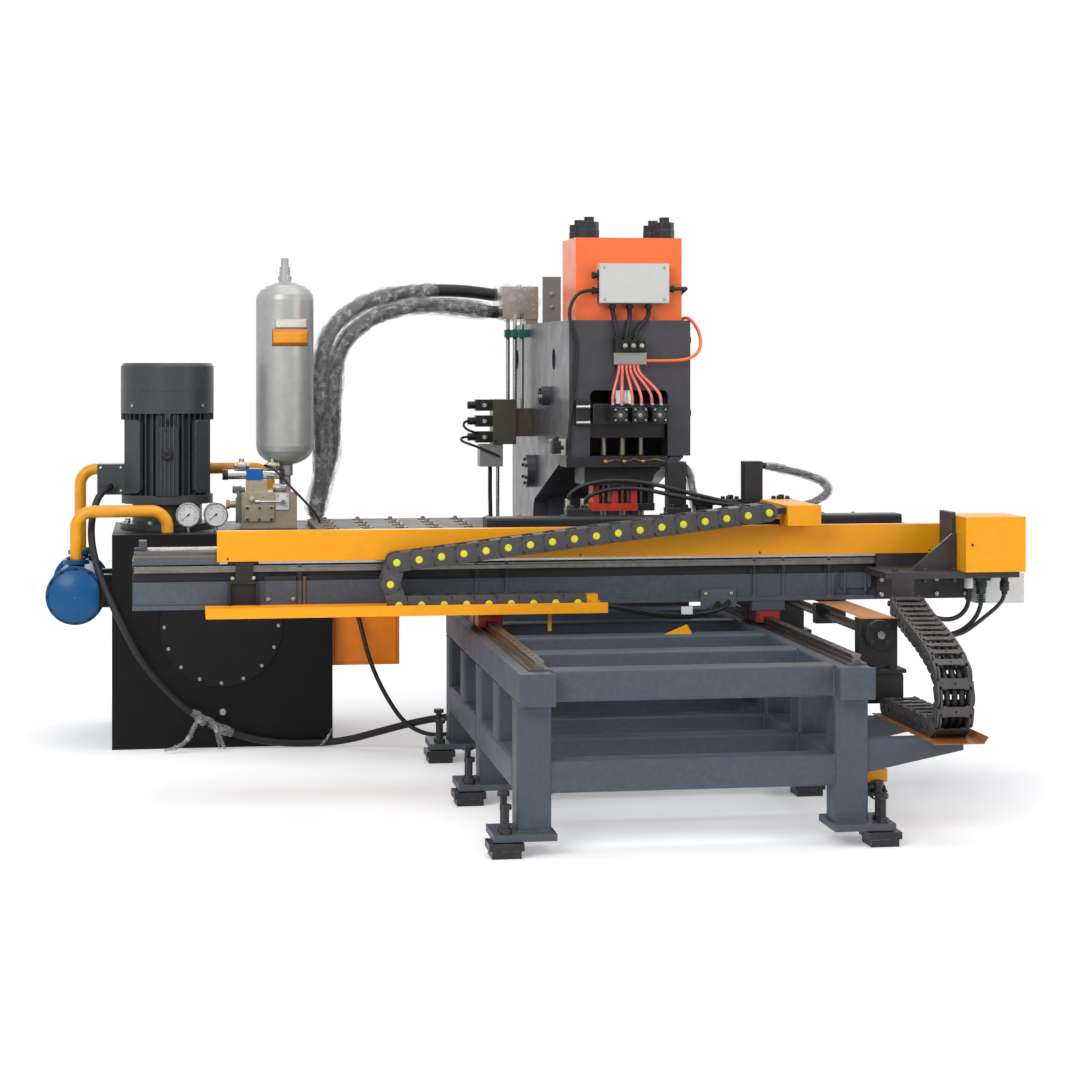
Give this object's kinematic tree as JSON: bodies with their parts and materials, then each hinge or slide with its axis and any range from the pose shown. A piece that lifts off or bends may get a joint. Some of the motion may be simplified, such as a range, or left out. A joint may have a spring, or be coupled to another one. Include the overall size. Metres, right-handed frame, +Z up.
{
  "type": "CNC hydraulic plate punching machine",
  "caption": "Plate punching machine with a hydraulic C-frame press, a cross beam that carries plate clamps on a tube frame, cable chains and a hydraulic power unit.",
  "frame": {"origin": "On the floor, straight under the middle punch.", "axes": "+X to the operator's right along the cross beam, +Y away from the operator along the guide rails, +Z up."},
  "size_m": [3.25, 3.22, 1.912],
  "materials": {
    "slate_paint": "satin",
    "dark_metal": "satin",
    "press_paint": "gloss",
    "amber_paint": "gloss",
    "orange_paint": "gloss",
    "red_paint": "satin",
    "machined_steel": "satin",
    "chrome": "polished",
    "tank_paint": "gloss",
    "motor_paint": "satin",
    "silver_paint": "satin",
    "blue_paint": "gloss",
    "ochre_paint": "gloss",
    "chain_plastic": "matte",
    "pale_metal": "satin",
    "beige_metal": "satin",
    "black_rubber": "matte",
    "red_tube": "gloss",
    "table_metal": "satin"
  },
  "bodies": {
    "base": {"frame_posts": "slate_paint", "frame_side_rails": "slate_paint", "frame_cross_rails": "slate_paint", "leveling_feet": "dark_metal", "y_guide_rails": "machined_steel", "y_drive_bed": "dark_metal", "chain_tray": "amber_paint", "lubricator": "amber_paint", "press_side_plates": "press_paint", "press_inner_frame": "press_paint", "front_housing": "press_paint", "cylinder_block": "orange_paint", "tie_rods": "dark_metal", "guide_plate": "dark_metal", "stripper": "red_paint", "die_block": "dark_metal", "press_controls": "pale_metal", "press_manifold": "dark_metal", "ball_tables": "table_metal", "table_balls": "chrome", "tank": "tank_paint", "access_cover": "tank_paint", "side_box": "orange_paint", "motor_housing": "motor_paint", "fan_cowl": "motor_paint", "oil_cooler": "blue_paint", "cooler_pipes": "ochre_paint", "accumulator": "silver_paint", "hydraulic_controls": "beige_metal", "y_chain": "chain_plastic", "main_hoses": "black_rubber", "floor_cables": "black_rubber", "press_cables": "black_rubber", "air_hoses": "red_tube"},
    "beam": {"x_beam": "slate_paint", "bearing_blocks": "machined_steel", "beam_cover": "amber_paint", "gutter": "amber_paint", "x_chain": "chain_plastic", "servo_bracket": "slate_paint", "servo_cover": "amber_paint", "servo_motor": "dark_metal", "servo_cables": "black_rubber"},
    "carriage": {"carriage": "dark_metal", "clamp_bodies": "dark_metal", "chain_box": "amber_paint", "clamp_hoses": "black_rubber"},
    "jaw_1": {"clamp_jaw_1": "dark_metal"},
    "jaw_2": {"clamp_jaw_2": "dark_metal"},
    "jaw_3": {"clamp_jaw_3": "dark_metal"},
    "y_screw": {"y_screw": "machined_steel"},
    "x_screw": {"x_screw": "machined_steel"},
    "ram": {"ram": "machined_steel", "selector_cylinders": "dark_metal"},
    "selector_1": {"selector_1": "machined_steel"},
    "selector_2": {"selector_2": "machined_steel"},
    "selector_3": {"selector_3": "machined_steel"},
    "fan": {"fan_rotor": "dark_metal"},
    "lever": {"manifold_lever": "chrome"},
    "wheel": {"lubricator_wheel": "dark_metal"}
  },
  "joints": [
    {"name": "y_slide", "type": "slide", "parent": "base", "child": "beam", "axis": [0, 1, 0], "range_m": [-0.5, 0.2], "deforming": ["y_chain"]},
    {"name": "x_slide", "type": "slide", "parent": "beam", "child": "carriage", "axis": [1, 0, 0], "range_m": [-0.85, 0.1], "deforming": ["x_chain"]},
    {"name": "y_screw_turn", "type": "hinge", "parent": "base", "child": "y_screw", "pos_m": [0.555, -0.7, 0.545], "axis": [0, 1, 0], "range_deg": [-9100, 3700]},
    {"name": "x_screw_turn", "type": "hinge", "parent": "beam", "child": "x_screw", "pos_m": [0.2, -0.72, 0.783], "axis": [1, 0, 0], "range_deg": [-15400, 1900]},
    {"name": "ram_slide", "type": "slide", "parent": "base", "child": "ram", "axis": [0, 0, 1], "range_m": [-0.05, 0], "deforming": ["air_hoses"]},
    {"name": "selector_1_slide", "type": "slide", "parent": "ram", "child": "selector_1", "axis": [0, 1, 0], "range_m": [-0.03, 0]},
    {"name": "selector_2_slide", "type": "slide", "parent": "ram", "child": "selector_2", "axis": [0, 1, 0], "range_m": [-0.03, 0]},
    {"name": "selector_3_slide", "type": "slide", "parent": "ram", "child": "selector_3", "axis": [0, 1, 0], "range_m": [-0.03, 0]},
    {"name": "jaw_1_open", "type": "hinge", "parent": "carriage", "child": "jaw_1", "pos_m": [-0.255, -0.455, 0.845], "axis": [1, 0, 0], "range_deg": [0, 9]},
    {"name": "jaw_2_open", "type": "hinge", "parent": "carriage", "child": "jaw_2", "pos_m": [0.09, -0.455, 0.845], "axis": [1, 0, 0], "range_deg": [0, 9]},
    {"name": "jaw_3_open", "type": "hinge", "parent": "carriage", "child": "jaw_3", "pos_m": [0.358, -0.455, 0.845], "axis": [1, 0, 0], "range_deg": [0, 9]},
    {"name": "fan_spin", "type": "hinge", "parent": "base", "child": "fan", "pos_m": [-1.628, 0.55, 1.25], "axis": [0, 0, 1], "continuous": true},
    {"name": "lever_turn", "type": "hinge", "parent": "base", "child": "lever", "pos_m": [-1.204, 0.415, 0.872], "axis": [0, 1, 0], "range_deg": [-45, 45]},
    {"name": "wheel_turn", "type": "hinge", "parent": "base", "child": "wheel", "pos_m": [0.422, -1.756, 0.138], "axis": [0, 1, 0], "continuous": true}
  ],
  "couplings": [
    {"joint": "y_screw_turn", "follows": "y_slide", "rad_per_m": 314.16},
    {"joint": "x_screw_turn", "follows": "x_slide", "rad_per_m": 314.16}
  ]
}
